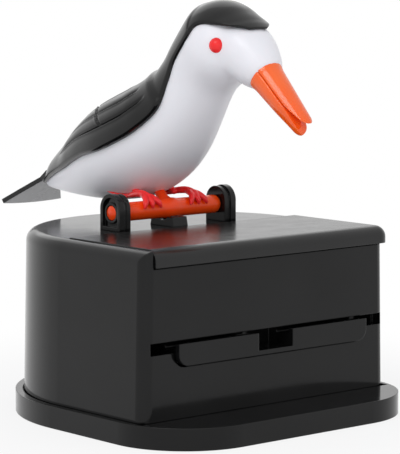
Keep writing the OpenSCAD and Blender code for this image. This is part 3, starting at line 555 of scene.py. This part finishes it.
def beak_half(side, name, node):
    """One half of the beak: a D in section, flared where it leaves the face, with a round tip."""
    tip_start = BEAK_LENGTH - BEAK_TIP
    places = np.concatenate([np.linspace(-BEAK_PLUG, 0, 4)[:-1], np.linspace(0, 3, 10)[:-1],
                             np.linspace(3, tip_start, 24)[:-1],
                             BEAK_LENGTH - BEAK_TIP * (1 - np.sin(np.linspace(0, math.pi / 2, 14)))])
    points = []
    for t in places:
        out = max(t, 0) / BEAK_LENGTH
        flare = FLARE * bell(max(t, 0), FLARE_LENGTH)
        radius = BEAK_RADII[0] + flare + (BEAK_RADII[1] - BEAK_RADII[0]) * out
        gap = GAP + GAP_GROWTH * out + GAP_TIP * step((t - (BEAK_LENGTH - BEAK_OPEN)) / BEAK_OPEN)
        cut = gap + side * (SPLIT - SPLIT_FALL * out)   # the flat side's distance from the beak's axis
        edge = math.sqrt(max(radius ** 2 - cut ** 2, 0.01))
        flat = [(cut, -edge + BEAK_CORNER + (2 * edge - 2 * BEAK_CORNER) * k / 8) for k in range(9)]
        start = math.asin(min(1.0, (cut + BEAK_CORNER) / radius))
        arc = [(radius * math.sin(w), radius * math.cos(w))
               for w in np.linspace(start, math.pi - start, 29)]
        loop = np.array(flat + bend(flat[-1], arc[0], (cut, edge))
                        + arc + bend(arc[-1], flat[0], (cut, -edge)))
        middle = np.array([(cut + radius) * 0.5, 0.0])
        shrink = math.sqrt(max(1 - ((t - tip_start) / BEAK_TIP) ** 2, 0.0004)) if t > tip_start else 1.0
        loop = middle + (loop - middle) * shrink
        if side < 0:
            loop[:, 1] *= 1 - TONGUE_LOSS * step((t - (BEAK_LENGTH - TONGUE)) / TONGUE)
        points += [PERCH + BEAK_ROOT + AHEAD * t + OVER * side * a + ASIDE * b for a, b in loop]
    faces = solid_faces(len(places), len(points) // len(places))
    mesh_piece(name, points, faces, BEAK, node, "bird", "orange_plastic")


def foot(side, name, node):
    """Strap that arches from behind over the bar, a shin, three toes down the bar's front and a spur."""
    strap = ([(6.2, 11.0, 2.9), (6.9, 8.0, 3.5), (7.7, 4.6, 4.2), (8.2, 1.6, 4.35), (8.4, -1.2, 3.7)],
             [0.55, 0.85, 1.0, 1.05, 1.0])
    shin = ([(6.4, 5.5, 3.8), (6.1, 7.5, 5.2), (5.9, 8.5, 6.4)], [0.9, 1.0, 1.0])
    toes = [([(8.2 + 0.3 * toe, 1.0, 4.1), (8.4 + 1.3 * toe, -1.4, 3.4),
              (8.4 + 2.4 * toe, -2.8, 2.1), (8.4 + 2.9 * toe, -3.1, 1.0)], [0.95, 0.9, 0.78, 0.42])
            for toe in (-1, 0, 1)]
    spur = ([(6.3, 10.0, 3.1), (7.4, 14.0, 3.2), (8.1, 18.2, 4.1)], [0.55, 0.42, 0.25])
    forms = join([tube([PERCH + np.array([side * x, y, z]) for x, y, z in path], radii)
                  for path, radii in (strap, shin, *toes, spur)])
    obj = mesh_piece(name, *forms, RED, node, "bird", "red_plastic")
    melt(obj, 0.2, 5)


def perch_bar():
    """Bar with stepped journals and a swollen hub, and the saddle that leans back into the body."""
    half, journal_end = 17.0, 20.95
    end = [(-journal_end, 1.75), (-journal_end + 0.35, 2.1), (-half - 0.02, 2.1), (-half, 2.35),
           (-half + 0.3, 2.6)]
    hub = [(x, 2.6 + 0.3 * math.exp(-(x / 2.3) ** 4)) for x in np.linspace(-half + 1, half - 1, 60)]
    bar = revolve(end + hub + [(-x, r) for x, r in end[::-1]], PERCH, ASIDE, 72)
    lean = math.radians(45)
    saddle = revolve([(0.0, 2.0), (2.3, 2.0), (2.9, 1.7), (3.6, 1.5), (5.0, 1.5), (8.0, 1.5)], PERCH,
                     np.array([0, math.sin(lean), math.cos(lean)]), 32)
    obj = mesh_piece("bar_with_hub", *join([bar, saddle]), ORANGE, "perch_bar", "bird", "orange_plastic")
    obj.data.set_sharp_from_angle(angle=math.radians(50))


bird_body()
back_shell()
beak_half(1, "beak_upper", "upper_beak")
beak_half(-1, "beak_lower", "lower_beak")
foot(-1, "foot_left", "left_foot")
foot(1, "foot_right", "right_foot")
perch_bar()


# ---------------------------------------------------------------- return spring
def return_spring():
    """Extension spring of round wire with its ends bent onto the axis."""
    low, high = (np.array(c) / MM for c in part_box("return_spring"))
    x, z = (low[0] + high[0]) / 2, (low[2] + high[2]) / 2
    start, end = low[1], high[1]
    wire, turns, per_turn, straight = 0.4, 12, 24, 0.8
    radius = (high[0] - low[0]) / 2 - wire
    steps = per_turn * turns
    line = [(x, start, z), (x, start + straight, z)]
    for i in range(steps + 1):
        a = 2 * math.pi * i / per_turn
        r = radius * min(1, i / per_turn, (steps - i) / per_turn)
        line.append((x + r * math.cos(a),
                     start + 2 * straight + (end - start - 4 * straight) * i / steps,
                     z + r * math.sin(a)))
    line = np.array(line + [(x, end - straight, z), (x, end, z)])
    sides = 10
    points = [p for centre, t in zip(line, directions(line))
              for p in circle(centre, wire, *across(t, [0.0, 0.3, 1.0]), sides)]
    faces = solid_faces(len(line), sides)
    mesh_piece("spring_wire", points, faces, STEEL, "return_spring", "housing", "steel")


return_spring()


# ---------------------------------------------------------------- stage, light, camera
FLOOR_HALF = 3                      # metres
FADE = (0.07, 0.16)                 # distances from the middle over which the floor turns plain white
PLAIN = (0.8, 1.0)                  # how plain it is near the dispenser and far from it


def floor():
    """Pale floor that takes a faint shadow near the dispenser and is plain white further out."""
    mesh = bpy.data.meshes.new("floor")
    corners = [(x * FLOOR_HALF, y * FLOOR_HALF, 0) for x, y in ((-1, -1), (1, -1), (1, 1), (-1, 1))]
    mesh.from_pydata(corners, [], [(0, 1, 2, 3)])
    mat, n = new_material("floor_white")
    diffuse = n.add("ShaderNodeBsdfDiffuse", {"Color": (0.9, 0.9, 0.9, 1)})
    glow = n.add("ShaderNodeEmission", {"Color": (1, 1, 1, 1), "Strength": 1.0})
    distance = n.add("ShaderNodeVectorMath", operation="LENGTH")
    n.link(n.object_coords(), distance.inputs[0])
    fade = n.add("ShaderNodeMapRange", {"From Min": FADE[0], "From Max": FADE[1], "To Min": PLAIN[0],
                                        "To Max": PLAIN[1]}, interpolation_type="SMOOTHSTEP")
    n.link(distance.outputs["Value"], fade.inputs["Value"])
    share = n.add("ShaderNodeMath", operation="MULTIPLY")
    n.link(n.seen_plainly(), share.inputs[0])
    n.link(fade.outputs["Result"], share.inputs[1])
    n.mix_surface(share.outputs[0], diffuse.outputs["BSDF"], glow.outputs["Emission"])
    mesh.materials.append(mat)
    obj = bpy.data.objects.new("floor", mesh)
    bpy.context.scene.collection.objects.link(obj)


def world():
    """White where it is seen, a plain soft room for all other light."""
    studio = bpy.data.worlds.new("studio")
    bpy.context.scene.world = studio
    n = Nodes(studio, "ShaderNodeOutputWorld")
    room = n.add("ShaderNodeBackground", {"Color": (0.96, 0.97, 1.0, 1), "Strength": 0.66})
    white = n.add("ShaderNodeBackground", {"Color": (1, 1, 1, 1), "Strength": 1.0})
    n.mix_surface(n.seen_plainly(), room.outputs["Background"], white.outputs["Background"])


def lamp(name, place, size, power):
    """Round soft lamp that looks at the dispenser's middle."""
    data = bpy.data.lights.new(name, "AREA")
    data.shape, data.size, data.energy = "DISK", size, power
    obj = bpy.data.objects.new(name, data)
    bpy.context.scene.collection.objects.link(obj)
    obj.location = place
    obj.rotation_mode = "QUATERNION"
    obj.rotation_quaternion = (Vector((0, 0, 0.06)) - Vector(place)).to_track_quat("-Z", "Y")


floor()
world()
lamp("key", (-0.75, -0.25, 0.85), 0.6, 3.3)
lamp("fill", (-0.5, -1.05, 0.2), 1.0, 1.7)
lamp("rim", (0.5, 0.8, 0.8), 1.1, 1.8)

TARGET = Vector((2.951, -4.204, 51.117)) * MM           # the point in the middle of the picture
BACK = Vector((-0.6484, -0.7522, 0.1174)).normalized()  # from there towards the camera
EYE_DISTANCE = 0.67632
camera = bpy.data.cameras.new("camera")
camera.lens, camera.sensor_width = 192.04, 36.0
camera.clip_start, camera.clip_end = 0.05, 20
eye = bpy.data.objects.new("camera", camera)
bpy.context.scene.collection.objects.link(eye)
eye.location = TARGET + BACK * EYE_DISTANCE
eye.rotation_mode = "QUATERNION"
eye.rotation_quaternion = (-BACK).to_track_quat("-Z", "Y")
bpy.context.scene.camera = eye
bpy.context.scene.view_settings.view_transform = "Standard"
